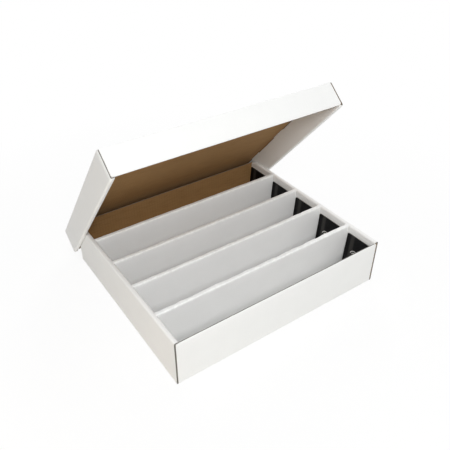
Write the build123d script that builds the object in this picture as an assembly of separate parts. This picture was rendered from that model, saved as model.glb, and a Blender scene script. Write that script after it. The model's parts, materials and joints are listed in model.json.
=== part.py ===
from build123d import *
import cmath
import math
import os

os.makedirs("parts", exist_ok=True)

# Five-row card storage box of white corrugated board: an open tray with a pleated
# insert, and a loose lift-off lid that stands tipped open behind the tray.
# Millimetres. X runs along the card rows, +Y to the rear, +Z up.
# The origin is the middle of the tray's underside, on the surface it stands on.

# ---------------------------------------------------------------- driving sizes

BOARD = 3.0                 # single-wall corrugated board
TRAY_LENGTH = 460.0         # outside, along the rows
SIDE_WALL_HEIGHT = 98.0     # rolled side walls
END_WALL_HEIGHT = 93.5      # single front and rear walls
SIDE_RELIEF_LENGTH = 14.0   # slope cut on a side wall's rear top corner
CREASE_RADIUS = 1.5         # outside of a single folded edge
ROLL_RADIUS = 2.4           # outside of a rolled top edge
EAR_LENGTH = 82.0           # glue-free ear held between the two side plies
EAR_CUT = 12.0              # slope cut on an ear's free corners
EAR_FIT = 1.0               # an ear stops short of its wall's free edge

TAB_COUNT = 3               # lock tabs under each rolled side
TAB_LENGTH = 42.0
TAB_PITCH = 120.0
TAB_FIT = 0.3               # slot clearance round a tab
PLY_FIT = 0.3               # clearance at the free ends of the rolled plies

PLEAT_THICKNESS = 9.0       # double-ply divider over its rounded top fold
PLEAT_PLY = 2.5             # lighter board of the insert
PLEAT_HEIGHT = 98.8         # top of the folds above the table
INSERT_FIT = 0.5            # clearance between the insert and the tray's walls

CARD_WIDTH = 63.5           # every row is a card wide, and its own room to spare
ROW_1_SPARE = 3.0           # front row
ROW_2_SPARE = 11.0
ROW_3_SPARE = 6.0
ROW_4_SPARE = 9.5
ROW_5_SPARE = 11.0          # rear row
CARD_HEIGHT = 77.5
CARD_THICKNESS = 1.5
CARD_CORNER = 3.2
CARD_LEAN = 4.3             # degrees, head on the end wall, foot out in the row
CARD_SIDE_GAP = 1.9         # from the divider or wall behind the card
CARD_FIT = 0.3              # above the insert and off the end wall

LID_FLAP_HEIGHT = 52.0      # rolled side flaps, over the panel
LID_END_FLAP_HEIGHT = 48.5  # single front and rear flaps, over the panel
LID_SIDE_FIT = 0.35         # side flaps off the tray's side walls
LID_FRONT_FIT = 7.0         # front flap off the tray's front wall, lid shut
LID_REAR_FIT = 5.5          # rear flap off the tray's rear wall, lid shut
LID_SHUT_FIT = 8.0          # panel above the end walls, lid shut
LID_OPEN_ANGLE = 49.2       # degrees, as photographed
LID_SET_BACK = 74.5         # lid behind the rear wall's top edge, along the panel
LID_OPEN_FIT = 7.3          # panel off the rear wall's top edge, lid open
LID_EAR_LENGTH = 60.0
LID_EAR_CUT = 10.0

# ------------------------------------------------------------- dependent sizes

row_spares = (ROW_1_SPARE, ROW_2_SPARE, ROW_3_SPARE, ROW_4_SPARE, ROW_5_SPARE)
row_widths = [CARD_WIDTH + spare for spare in row_spares]
inside_depth = sum(row_widths) + PLEAT_THICKNESS * (len(row_widths) - 1)

half_length = TRAY_LENGTH / 2
inner_half_depth = inside_depth / 2             # inside the end walls
half_depth = inner_half_depth + BOARD
roll_width = 3 * BOARD                          # outer ply, ear and inner ply
inner_half_length = half_length - roll_width    # inside the rolled side walls
lid_half_length = half_length + LID_SIDE_FIT + roll_width
lid_front = -half_depth - LID_FRONT_FIT - BOARD
lid_rear = half_depth + LID_REAR_FIT + BOARD
lid_top = END_WALL_HEIGHT + LID_SHUT_FIT + BOARD
lid_underside = lid_top - BOARD
insert_floor_top = BOARD + PLEAT_PLY

SIDES = {"left": -1, "right": 1}
CUT_OVERRUN = 1.0           # a cutting body runs past the faces it cuts


def block(x, y, z):
    """A box between two X values, two Y values and two Z values."""
    x0, x1 = sorted(x)
    y0, y1 = sorted(y)
    size = (x1 - x0, y1 - y0, z[1] - z[0])
    middle = ((x0 + x1) / 2, (y0 + y1) / 2, (z[0] + z[1]) / 2)
    return Pos(*middle) * Box(*size)


def edges_at(shape, axis, **places):
    """Edges along one axis whose middle lies at the given x, y or z."""
    found = []
    for edge in shape.edges().filter_by(axis):
        middle = edge.center()
        spot = {"x": middle.X, "y": middle.Y, "z": middle.Z}
        if all(abs(spot[name] - value) < 1e-4 for name, value in places.items()):
            found.append(edge)
    return found


def tab_positions(middle):
    """Places of the lock tabs along Y, evenly either side of the middle."""
    return [middle + TAB_PITCH * (i - (TAB_COUNT - 1) / 2) for i in range(TAB_COUNT)]


def tabs(x, middle, z, grow):
    """Lock tabs, or their slots when grown by a clearance."""
    half = TAB_LENGTH / 2 + grow
    return [block(x, (y - half, y + half), z) for y in tab_positions(middle)]


# ------------------------------------------------------------------------ tray


def tray_floor():
    """Bottom panel with the slots that the side walls' lock tabs fill."""
    floor = block(
        (-half_length + BOARD, half_length - BOARD),
        (-inner_half_depth, inner_half_depth),
        (0, BOARD),
    )
    for side in SIDES.values():
        slot_x = (
            side * (inner_half_length - TAB_FIT),
            side * (inner_half_length + BOARD + TAB_FIT),
        )
        for slot in tabs(slot_x, 0, (0, BOARD), TAB_FIT):
            floor -= slot
    return floor


def tray_end_wall(end):
    """Single-ply front (end -1) or rear (end 1) wall, folded up off the floor."""
    outer_x = half_length - BOARD
    outer_y = end * half_depth
    wall = block((-outer_x, outer_x), (end * inner_half_depth, outer_y), (0, END_WALL_HEIGHT))
    creases = edges_at(wall, Axis.X, y=outer_y, z=0)
    for x in (-outer_x, outer_x):
        creases += edges_at(wall, Axis.Z, x=x, y=outer_y)
    return fillet(creases, CREASE_RADIUS)


def tray_ear(side, end):
    """Ear of an end wall, held between the two plies of a side wall."""
    x = (side * (half_length - BOARD), side * (inner_half_length + BOARD))
    y = (end * inner_half_depth, end * (inner_half_depth - EAR_LENGTH))
    ear = block(x, y, (BOARD, END_WALL_HEIGHT - EAR_FIT))
    return chamfer(edges_at(ear, Axis.X, y=y[1]), EAR_CUT)


def relief_cut(side):
    """Wedge that slopes a side wall's rear top corner down to the rear wall."""
    slope_start = half_depth - SIDE_RELIEF_LENGTH
    outline = Polyline(
        (slope_start, SIDE_WALL_HEIGHT),
        (half_depth, END_WALL_HEIGHT),
        (half_depth + CUT_OVERRUN, END_WALL_HEIGHT),
        (half_depth + CUT_OVERRUN, SIDE_WALL_HEIGHT + CUT_OVERRUN),
        (slope_start, SIDE_WALL_HEIGHT + CUT_OVERRUN),
        close=True,
    )
    wedge = extrude(Plane.YZ * make_face(outline), amount=roll_width + 2 * CUT_OVERRUN)
    wall_middle = side * (half_length - roll_width / 2)
    return Pos(wall_middle - roll_width / 2 - CUT_OVERRUN, 0, 0) * wedge


def tray_outer_side(side):
    """Outer ply of a side wall, folded up off the floor."""
    top = SIDE_WALL_HEIGHT - BOARD
    x = (side * half_length, side * (half_length - BOARD))
    ply = block(x, (-half_depth, half_depth), (0, top))
    ply = fillet(edges_at(ply, Axis.Y, x=side * half_length, z=0), CREASE_RADIUS)
    return ply - relief_cut(side)


def tray_rolled_side(side):
    """Rolled top and inner ply of a side wall, with its lock tabs."""
    under_roll = SIDE_WALL_HEIGHT - BOARD
    roll_x = (side * half_length, side * inner_half_length)
    ply_x = (side * (inner_half_length + BOARD), side * inner_half_length)
    roll = block(roll_x, (-half_depth, half_depth), (under_roll, SIDE_WALL_HEIGHT))
    top_edges = []
    for x in roll_x:
        top_edges += edges_at(roll, Axis.Y, x=x, z=SIDE_WALL_HEIGHT)
    roll = fillet(top_edges, ROLL_RADIUS)
    ply_end = inner_half_depth - PLY_FIT
    ply = block(ply_x, (-ply_end, ply_end), (BOARD, under_roll))
    side_wall = roll + ply
    for tab in tabs(ply_x, 0, (PLY_FIT, BOARD), 0):
        side_wall += tab
    return side_wall - relief_cut(side)


# ---------------------------------------------------------------------- insert

insert_half_length = inner_half_length - INSERT_FIT
row_fronts = [-inner_half_depth]
row_rears = []
for width in row_widths:
    row_rears.append(row_fronts[-1] + width)
    row_fronts.append(row_rears[-1] + PLEAT_THICKNESS)
row_fronts.pop()
pleat_middles = [rear + PLEAT_THICKNESS / 2 for rear in row_rears[:-1]]


def divider(middle):
    """Double-ply divider: one board folded over itself in a rounded top."""
    fold = PLEAT_THICKNESS / 2
    straight_top = PLEAT_HEIGHT - fold
    outline = Polyline((middle - fold, BOARD), (middle - fold, straight_top))
    outline += ThreePointArc(
        (middle - fold, straight_top), (middle, PLEAT_HEIGHT), (middle + fold, straight_top)
    )
    outline += Polyline(
        (middle + fold, straight_top), (middle + fold, BOARD), (middle - fold, BOARD)
    )
    solid = make_face(outline)
    inner_fold = fold - PLEAT_PLY
    hollow = Polyline((middle - inner_fold, BOARD), (middle - inner_fold, straight_top))
    hollow += ThreePointArc(
        (middle - inner_fold, straight_top),
        (middle, straight_top + inner_fold),
        (middle + inner_fold, straight_top),
    )
    hollow += Polyline(
        (middle + inner_fold, straight_top), (middle + inner_fold, BOARD), (middle - inner_fold, BOARD)
    )
    section = Plane.YZ * (solid - make_face(hollow))
    return Pos(-insert_half_length, 0, 0) * extrude(section, amount=2 * insert_half_length)


def row_floor(front, rear):
    """Strip of the insert on the tray's floor, between two dividers."""
    front += INSERT_FIT if front == -inner_half_depth else 0
    rear -= INSERT_FIT if rear == inner_half_depth else 0
    return block(
        (-insert_half_length, insert_half_length), (front, rear), (BOARD, insert_floor_top)
    )


# ----------------------------------------------------------------------- cards

card_lean = math.radians(CARD_LEAN)
card_overhang = CARD_HEIGHT * math.sin(card_lean)       # head beyond the foot
card_back_rise = CARD_THICKNESS * math.sin(card_lean)
card_reach = card_overhang + CARD_THICKNESS * math.cos(card_lean)
card_travel = 2 * (inner_half_length - CARD_FIT) - card_reach


def row_card(rear):
    """Black card that leans on the right-hand end wall of its row."""
    card = Box(
        CARD_THICKNESS, CARD_WIDTH, CARD_HEIGHT, align=(Align.MAX, Align.MAX, Align.MIN)
    )
    card = fillet(card.edges().filter_by(Axis.X), CARD_CORNER)
    foot = (
        inner_half_length - CARD_FIT - card_overhang,
        rear - CARD_SIDE_GAP,
        insert_floor_top + CARD_FIT + card_back_rise,
    )
    return Pos(*foot) * Rot(Y=CARD_LEAN) * card


# ------------------------------------------------------------------------- lid

# The lid is drawn shut and then swung open. Points in the Y-Z plane are complex
# numbers, y + z*i, so that the swing is one multiplication about its axis.
turn_open = cmath.exp(-1j * math.radians(LID_OPEN_ANGLE))
rear_wall_edge = complex(half_depth, END_WALL_HEIGHT)
shut_corner = complex(lid_rear, lid_top)
open_corner = (
    rear_wall_edge
    + LID_SET_BACK * turn_open
    + (LID_OPEN_FIT + BOARD) * 1j * turn_open
)
swing_axis = (open_corner - turn_open * shut_corner) / (1 - turn_open)

axis_place = Pos(0, swing_axis.real, swing_axis.imag)
swing_open = axis_place * Rot(X=-LID_OPEN_ANGLE) * axis_place.inverse()


def lid_panel():
    """Top panel with the slots that the side flaps' lock tabs fill."""
    panel = block(
        (-lid_half_length + BOARD, lid_half_length - BOARD),
        (lid_front + BOARD, lid_rear - BOARD),
        (lid_underside, lid_top),
    )
    for side in SIDES.values():
        slot_x = (
            side * (half_length + LID_SIDE_FIT - TAB_FIT),
            side * (half_length + LID_SIDE_FIT + BOARD + TAB_FIT),
        )
        for slot in tabs(slot_x, (lid_front + lid_rear) / 2, (lid_underside, lid_top), TAB_FIT):
            panel -= slot
    return panel


def lid_end_flap(outer_y, inner_y):
    """Single-ply front or rear flap, folded down off the panel."""
    outer_x = lid_half_length - BOARD
    flap = block(
        (-outer_x, outer_x), (outer_y, inner_y), (lid_top - LID_END_FLAP_HEIGHT, lid_top)
    )
    creases = edges_at(flap, Axis.X, y=outer_y, z=lid_top)
    for x in (-outer_x, outer_x):
        creases += edges_at(flap, Axis.Z, x=x, y=outer_y)
    return fillet(creases, CREASE_RADIUS)


def lid_ear(side, inner_y, towards):
    """Ear of an end flap, held between the two plies of a side flap."""
    x = (side * (lid_half_length - BOARD), side * (lid_half_length - 2 * BOARD))
    y = (inner_y, inner_y + towards * LID_EAR_LENGTH)
    ear = block(x, y, (lid_top - LID_END_FLAP_HEIGHT + EAR_FIT, lid_underside))
    return chamfer(edges_at(ear, Axis.X, y=y[1]), LID_EAR_CUT)


def lid_outer_side(side):
    """Outer ply of a side flap."""
    x = (side * lid_half_length, side * (lid_half_length - BOARD))
    z = (lid_top - LID_FLAP_HEIGHT + BOARD, lid_top)
    ply = block(x, (lid_front, lid_rear), z)
    return fillet(edges_at(ply, Axis.Y, x=side * lid_half_length, z=lid_top), CREASE_RADIUS)


def lid_rolled_side(side):
    """Rolled lower edge and inner ply of a side flap, with its lock tabs."""
    bottom = lid_top - LID_FLAP_HEIGHT
    roll_x = (side * lid_half_length, side * (half_length + LID_SIDE_FIT))
    ply_x = (side * (half_length + LID_SIDE_FIT + BOARD), roll_x[1])
    roll = block(roll_x, (lid_front, lid_rear), (bottom, bottom + BOARD))
    low_edges = []
    for x in roll_x:
        low_edges += edges_at(roll, Axis.Y, x=x, z=bottom)
    roll = fillet(low_edges, ROLL_RADIUS)
    ply_y = (lid_front + BOARD + PLY_FIT, lid_rear - BOARD - PLY_FIT)
    flap = roll + block(ply_x, ply_y, (bottom + BOARD, lid_underside))
    for tab in tabs(ply_x, (lid_front + lid_rear) / 2, (lid_underside, lid_top - PLY_FIT), 0):
        flap += tab
    return flap


# -------------------------------------------------------------------- assembly

tray_pieces = {
    "tray_floor": tray_floor(),
    "tray_front_wall": tray_end_wall(-1),
    "tray_rear_wall": tray_end_wall(1),
}
lid_pieces = {
    "lid_panel": lid_panel(),
    "lid_front_flap": lid_end_flap(lid_front, lid_front + BOARD),
    "lid_rear_flap": lid_end_flap(lid_rear, lid_rear - BOARD),
}
for side_name, side in SIDES.items():
    tray_pieces[f"tray_{side_name}_outer_wall"] = tray_outer_side(side)
    tray_pieces[f"tray_{side_name}_rolled_wall"] = tray_rolled_side(side)
    tray_pieces[f"tray_front_{side_name}_ear"] = tray_ear(side, -1)
    tray_pieces[f"tray_rear_{side_name}_ear"] = tray_ear(side, 1)
    lid_pieces[f"lid_{side_name}_outer_flap"] = lid_outer_side(side)
    lid_pieces[f"lid_{side_name}_rolled_flap"] = lid_rolled_side(side)
    lid_pieces[f"lid_front_{side_name}_ear"] = lid_ear(side, lid_front + BOARD, 1)
    lid_pieces[f"lid_rear_{side_name}_ear"] = lid_ear(side, lid_rear - BOARD, -1)

insert_pieces = {}
for number, middle in enumerate(pleat_middles, start=1):
    insert_pieces[f"divider_{number}"] = divider(middle)
for number, (front, rear) in enumerate(zip(row_fronts, row_rears), start=1):
    insert_pieces[f"row_floor_{number}"] = row_floor(front, rear)

card_pieces = {}
for number, rear in enumerate(row_rears, start=1):
    card_pieces[f"row_card_{number}"] = row_card(rear)

opened_lid = {name: swing_open * piece for name, piece in lid_pieces.items()}

for name, piece in {**tray_pieces, **insert_pieces, **card_pieces, **opened_lid}.items():
    piece.label = name
    export_step(piece, f"parts/{name}.step")

print(f"lid swing axis: y {swing_axis.real:.4f}  z {swing_axis.imag:.4f}")
print(f"free card travel: {card_travel:.1f} mm")
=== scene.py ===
"""Looks of a five-row card storage box of white corrugated board, with its loose lid tipped open.

Every board is made as the mill makes it: two liner papers with a fluted paper between them,
folded round the CAD part's own outlines. Metres, in the frame of the CAD part.
"""

import json
import logging
import math
from dataclasses import dataclass, field
from enum import Enum
from typing import Callable, Sequence

import bpy
from mathutils import Matrix, Vector, noise


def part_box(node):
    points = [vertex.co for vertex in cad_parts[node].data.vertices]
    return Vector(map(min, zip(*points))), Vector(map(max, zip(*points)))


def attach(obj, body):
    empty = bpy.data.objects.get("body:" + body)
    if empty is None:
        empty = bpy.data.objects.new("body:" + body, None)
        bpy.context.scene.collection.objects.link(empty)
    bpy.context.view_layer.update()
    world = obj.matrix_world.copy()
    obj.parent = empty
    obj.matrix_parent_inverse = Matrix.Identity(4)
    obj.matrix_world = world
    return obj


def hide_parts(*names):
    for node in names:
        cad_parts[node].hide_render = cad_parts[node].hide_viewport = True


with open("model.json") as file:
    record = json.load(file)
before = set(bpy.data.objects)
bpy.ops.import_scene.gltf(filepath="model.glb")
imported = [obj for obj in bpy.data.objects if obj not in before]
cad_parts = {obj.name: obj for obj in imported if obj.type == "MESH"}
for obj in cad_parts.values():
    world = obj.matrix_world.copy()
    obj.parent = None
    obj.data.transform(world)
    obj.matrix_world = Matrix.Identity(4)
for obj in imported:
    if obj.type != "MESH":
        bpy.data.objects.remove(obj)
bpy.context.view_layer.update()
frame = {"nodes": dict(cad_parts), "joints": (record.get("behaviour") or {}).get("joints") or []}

LOG = logging.getLogger("card_box")
MM = 0.001
ROWS = 5
FLUTE_PITCH = 6.4 * MM
CREASE_RADIUS = 1.5 * MM    # outside of a single folded edge
ROLL_RADIUS = 3.3 * MM      # outside of the side walls' rolled edges, each side of a flat
IMAGE_PIXELS = 450
NOISE_APART = 7.31          # between the slices of noise that two seeds read
PLACE = "place_on_paper"
WEAR_AND_HIGHLIGHT = "wear_and_highlight"

Pair = tuple[float, float]
Place = tuple[float, float, float]


# ------------------------------------------------------------------ small helpers


def linear(colour: str) -> tuple[float, float, float, float]:
    """Turn an sRGB hex colour into Blender's linear one.

    Args:
        colour: A hash and six hex digits.

    Returns:
        Red, green, blue and an alpha of 1.
    """
    channels = [int(colour[i : i + 2], 16) / 255 for i in (1, 3, 5)]
    bent = [c / 12.92 if c <= 0.04045 else ((c + 0.055) / 1.055) ** 2.4 for c in channels]
    return bent[0], bent[1], bent[2], 1.0


def smooth(low: float, high: float, value: float) -> float:
    """Ease from 0 at low to 1 at high, which may lie below low."""
    share = min(1.0, max(0.0, (value - low) / (high - low)))
    return share * share * (3 - 2 * share)


def unevenness(seed: float, a: float, b: float, size: float) -> float:
    """Give a height from about -1 to 1 at a place, with swells of the given size."""
    return noise.noise(Vector((a / size, b / size, NOISE_APART * seed)))


def even_steps(low: float, high: float, step: float) -> list[float]:
    """Places from low to high, both included, at even steps no longer than step."""
    count = max(1, math.ceil(abs(high - low) / step - 1e-6))
    return [low + (high - low) * i / count for i in range(count + 1)]


def dress(piece: bpy.types.Object, body: str, slot: str, *nodes: str) -> None:
    """Hang a finished piece on its body, in place of its CAD nodes.

    Args:
        piece: The finished piece.
        body: CAD body that it rides on.
        slot: The record's material slot that its finish belongs to; not used.
        nodes: CAD nodes that it stands for.
    """
    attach(piece, body)
    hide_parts(*nodes)
    LOG.info("%s: %d faces", piece.name, len(piece.data.polygons))


# ---------------------------------------------------------------------- materials


def add_node(
    tree: bpy.types.NodeTree,
    kind: str,
    settings: dict[str | int, object] | None = None,
    links: dict[str | int, bpy.types.Node | bpy.types.NodeSocket] | None = None,
) -> bpy.types.Node:
    """Add a node with its settings and links.

    Args:
        tree: Tree that gets the node.
        kind: Blender's name of the node's type.
        settings: Values by the name of a property, or by the name or number of an input.
        links: Sockets, or nodes for their first output, by the input that they feed.

    Returns:
        The new node.
    """
    node = tree.nodes.new(kind)
    for key, value in (settings or {}).items():
        if isinstance(key, str) and hasattr(node, key):
            setattr(node, key, value)
        else:
            node.inputs[key].default_value = value
    for key, source in (links or {}).items():
        socket = source.outputs[0] if isinstance(source, bpy.types.Node) else source
        tree.links.new(socket, node.inputs[key])
    return node


def seen_straight(tree: bpy.types.NodeTree) -> bpy.types.NodeSocket:
    """Tell the rays that show the background from those that light the box.

    Args:
        tree: Tree that gets the nodes.

    Returns:
        A socket that is 1 for camera, glossy and transmission rays, and 0 for the rest.
    """
    path = add_node(tree, "ShaderNodeLightPath")
    share = path.outputs["Is Camera Ray"]
    for ray in ("Is Glossy Ray", "Is Transmission Ray"):
        either = {0: share, 1: path.outputs[ray]}
        share = add_node(tree, "ShaderNodeMath", {"operation": "MAXIMUM"}, either).outputs[0]
    return share


@dataclass(frozen=True)
class Finish:
    """A finish, named for the real material and how it was made."""

    name: str

    def make(self) -> bpy.types.Material:
        """Make the material.

        Returns:
            A node material with the finish's own surface.
        """
        material = bpy.data.materials.new(self.name)
        material.use_nodes = True
        tree = material.node_tree
        tree.nodes.clear()
        add_node(tree, "ShaderNodeOutputMaterial", links={"Surface": self.surface(tree)})
        return material


class Streaks(Enum):
    """Lie of a paper's fibres."""

    CLOUDY = (1.0, 1.0)
    MACHINE_RUN = (0.09, 1.0)     # drawn out the way the web ran, across the flutes


class Lie(Enum):
    """Where a paper's pattern takes its place from, and which way counts across the flutes."""

    FLAT_PAPER = "X"      # the flat paper's own distances, stored on the mesh
    SOLID = "Y"           # the frame's distances, for CAD nodes, which store none


@dataclass(frozen=True)
class Paper(Finish):
    """A paper of the board, with clouds, fibres, flute lines and folds in a worn colour, which on the
    insert's liner is brighter: rubbing, and a painted highlight along its folds.
    """

    colour: str
    cloud_colour: str
    fibre_colour: str
    worn_and_highlight_colour: str
    roughness: float
    streaks: Streaks = Streaks.CLOUDY
    lie: Lie = Lie.FLAT_PAPER
    cloud_size: float = 45 * MM
    fibre_size: float = 2.2 * MM      # real fibres are finer and would not show
    fibre_share: float = 0.12
    fibre_marks: Pair = (0.48, 0.72)  # noise at which fibres begin and are full
    line_share: float = 0.05          # of the lines where the liner is glued to the flutes
    line_marks: Pair = (0.2, 1.0)
    # Worn colour at folds and cut edges; on the insert's liner it is brighter than the paper, partly
    # rubbing and partly a painted highlight along the folds.
    wear_and_highlight_size: float = 3.5 * MM
    wear_and_highlight_share: float = 0.3
    wear_and_highlight_marks: Pair = (0.38, 0.62)
    tooth: float = 0.08               # the fibres' share in the roughness
    bump_height: float = 0.05 * MM
    bump_strength: float = 0.6
    ior: float = 1.45

    def surface(self, tree: bpy.types.NodeTree) -> bpy.types.Node:
        """Build the paper's surface.

        Args:
            tree: Tree that gets the nodes.

        Returns:
            The shader.
        """
        if self.lie is Lie.SOLID:
            place = add_node(tree, "ShaderNodeTexCoord").outputs["Object"]
        else:
            place = add_node(tree, "ShaderNodeAttribute", {"attribute_name": PLACE}).outputs["Vector"]
        stretch = add_node(
            tree, "ShaderNodeVectorMath",
            {"operation": "MULTIPLY", 1: (*self.streaks.value, 1.0)}, {0: place},
        )
        patterns = (
            (self.cloud_size, 3.0, 0.55, place),      # size, detail, roughness and place
            (self.fibre_size, 4.0, 0.65, stretch),
            (self.wear_and_highlight_size, 5.0, 0.7, place),
        )
        clouds, fibres, rub_and_highlight_noise = (
            add_node(
                tree, "ShaderNodeTexNoise",
                {"Scale": 1 / size, "Detail": detail, "Roughness": roughness}, {"Vector": where},
            )
            for size, detail, roughness, where in patterns
        )
        across = add_node(tree, "ShaderNodeSeparateXYZ", links={0: place}).outputs[self.lie.value]
        phase = add_node(
            tree, "ShaderNodeMath", {"operation": "MULTIPLY", 1: math.tau / FLUTE_PITCH}, {0: across}
        )
        ridges = add_node(tree, "ShaderNodeMath", {"operation": "COSINE"}, {0: phase})
        # Worn patches near folds and cut edges: rubbing, and on the insert's liner a painted
        # highlight along the folds.
        wear_and_highlight = add_node(tree, "ShaderNodeAttribute", {"attribute_name": WEAR_AND_HIGHLIGHT}).outputs["Fac"]
        rubbed_and_highlit = add_node(tree, "ShaderNodeMath", {"operation": "MULTIPLY"}, {0: rub_and_highlight_noise, 1: wear_and_highlight})
        colour = add_node(
            tree, "ShaderNodeMix",
            {"data_type": "RGBA", 6: linear(self.colour), 7: linear(self.cloud_colour)}, {0: clouds},
        )
        layers = (
            (fibres, self.fibre_marks, self.fibre_share, self.fibre_colour),
            (ridges, self.line_marks, self.line_share, self.worn_and_highlight_colour),
            (rubbed_and_highlit, self.wear_and_highlight_marks, self.wear_and_highlight_share, self.worn_and_highlight_colour),
        )
        for pattern, (begins, full), share, paint in layers:
            mask = add_node(
                tree, "ShaderNodeMapRange",
                {"From Min": begins, "From Max": full, "To Max": share}, {"Value": pattern},
            )
            colour = add_node(
                tree, "ShaderNodeMix", {"data_type": "RGBA", 7: linear(paint)},
                {0: mask, 6: colour.outputs[2]},
            )
        bump = add_node(
            tree, "ShaderNodeBump",
            {"Strength": self.bump_strength, "Distance": self.bump_height}, {"Height": fibres},
        )
        tooth = add_node(
            tree, "ShaderNodeMapRange",
            {"To Min": self.roughness - self.tooth, "To Max": self.roughness + self.tooth},
            {"Value": fibres},
        )
        return add_node(
            tree, "ShaderNodeBsdfPrincipled", {"IOR": self.ior},
            {"Base Color": colour.outputs[2], "Roughness": tooth, "Normal": bump},
        )


@dataclass(frozen=True)
class PrintedCard(Finish):
    """Black card under a satin lacquer, with one paler stripe down it."""

    name: str = "black_card_offset_printed_and_lacquered"
    colour: str = "#070708"
    sheen_colour: str = "#504e4b"
    stripe_middle: float = 15 * MM
    stripe_half_width: float = 7 * MM
    stripe_share: float = 0.85
    grain_size: float = 1.6 * MM      # print grain, drawn coarser than it is so that it shows
    grain_detail: float = 3.0
    grain_height: float = 0.02 * MM
    grain_strength: float = 0.3
    roughness: float = 0.55
    ior: float = 1.5
    specular: float = 0.14            # low, so that the black stays deep under the lamps

    def surface(self, tree: bpy.types.NodeTree) -> bpy.types.Node:
        """Build the card's surface.

        Args:
            tree: Tree that gets the nodes.

        Returns:
            The shader.
        """
        place = add_node(tree, "ShaderNodeAttribute", {"attribute_name": PLACE}).outputs["Vector"]
        across = add_node(tree, "ShaderNodeSeparateXYZ", links={0: place})
        off_middle = add_node(
            tree, "ShaderNodeMath", {"operation": "SUBTRACT", 1: self.stripe_middle}, {0: across}
        )
        distance = add_node(tree, "ShaderNodeMath", {"operation": "ABSOLUTE"}, {0: off_middle})
        edge, full = self.stripe_half_width, self.stripe_half_width / 3
        stripe = add_node(
            tree, "ShaderNodeMapRange",
            {
                "interpolation_type": "SMOOTHSTEP",
                "From Min": edge, "From Max": full, "To Max": self.stripe_share,
            },
            {"Value": distance},
        )
        grain = add_node(
            tree, "ShaderNodeTexNoise",
            {"Scale": 1 / self.grain_size, "Detail": self.grain_detail}, {"Vector": place},
        )
        mottled = add_node(
            tree, "ShaderNodeMath", {"operation": "MULTIPLY"}, {0: stripe, 1: grain}
        )
        colour = add_node(
            tree, "ShaderNodeMix",
            {"data_type": "RGBA", 6: linear(self.colour), 7: linear(self.sheen_colour)},
            {0: mottled},
        )
        bump = add_node(
            tree, "ShaderNodeBump",
            {"Strength": self.grain_strength, "Distance": self.grain_height}, {"Height": grain},
        )
        return add_node(
            tree, "ShaderNodeBsdfPrincipled",
            {"Roughness": self.roughness, "IOR": self.ior, "Specular IOR Level": self.specular},
            {"Base Color": colour.outputs[2], "Normal": bump},
        )


@dataclass(frozen=True)
class StudioSweep(Finish):
    """Matt pale laminate under the box; the camera sees it white, with a soft shadow."""

    name: str = "white_laminate_rolled"
    bounce_colour: str = "#e6e6e4"     # what the box is lit by
    seen_colour: str = "#fcfcfb"       # what the camera sees
    grain_colour: str = "#f6f6f4"
    grain_size: float = 30 * MM
    near_white: float = 0.86           # share of plain white beside the box
    near_reach: float = 0.38
    far_reach: float = 0.85            # all white from here on
    roughness: float = 0.7
    ior: float = 1.45

    def surface(self, tree: bpy.types.NodeTree) -> bpy.types.Node:
        """Build the laminate's surface.

        Args:
            tree: Tree that gets the nodes.

        Returns:
            The shader.
        """
        place = add_node(tree, "ShaderNodeTexCoord").outputs["Object"]
        straight = seen_straight(tree)
        grain = add_node(
            tree, "ShaderNodeTexNoise", {"Scale": 1 / self.grain_size}, {"Vector": place}
        )
        seen = add_node(
            tree, "ShaderNodeMix",
            {"data_type": "RGBA", 6: linear(self.seen_colour), 7: linear(self.grain_colour)},
            {0: grain},
        )
        colour = add_node(
            tree, "ShaderNodeMix", {"data_type": "RGBA", 6: linear(self.bounce_colour)},
            {0: straight, 7: seen.outputs[2]},
        )
        matt = add_node(
            tree, "ShaderNodeBsdfPrincipled", {"Roughness": self.roughness, "IOR": self.ior},
            {"Base Color": colour.outputs[2]},
        )
        glow = add_node(tree, "ShaderNodeEmission", {"Strength": 1.0})
        reach = add_node(tree, "ShaderNodeVectorMath", {"operation": "LENGTH"}, {0: place})
        white = add_node(
            tree, "ShaderNodeMapRange",
            {"From Min": self.near_reach, "From Max": self.far_reach, "To Min": self.near_white},
            {"Value": reach.outputs["Value"]},
        )
        share = add_node(
            tree, "ShaderNodeMath", {"operation": "MULTIPLY"}, {0: straight, 1: white}
        )
        return add_node(tree, "ShaderNodeMixShader", links={0: share, 1: matt, 2: glow})


class Ply(Enum):
    """Papers of a board, numbered as its material slots."""

    WHITE = 0
    KRAFT = 1
    FLUTING = 2


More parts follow.
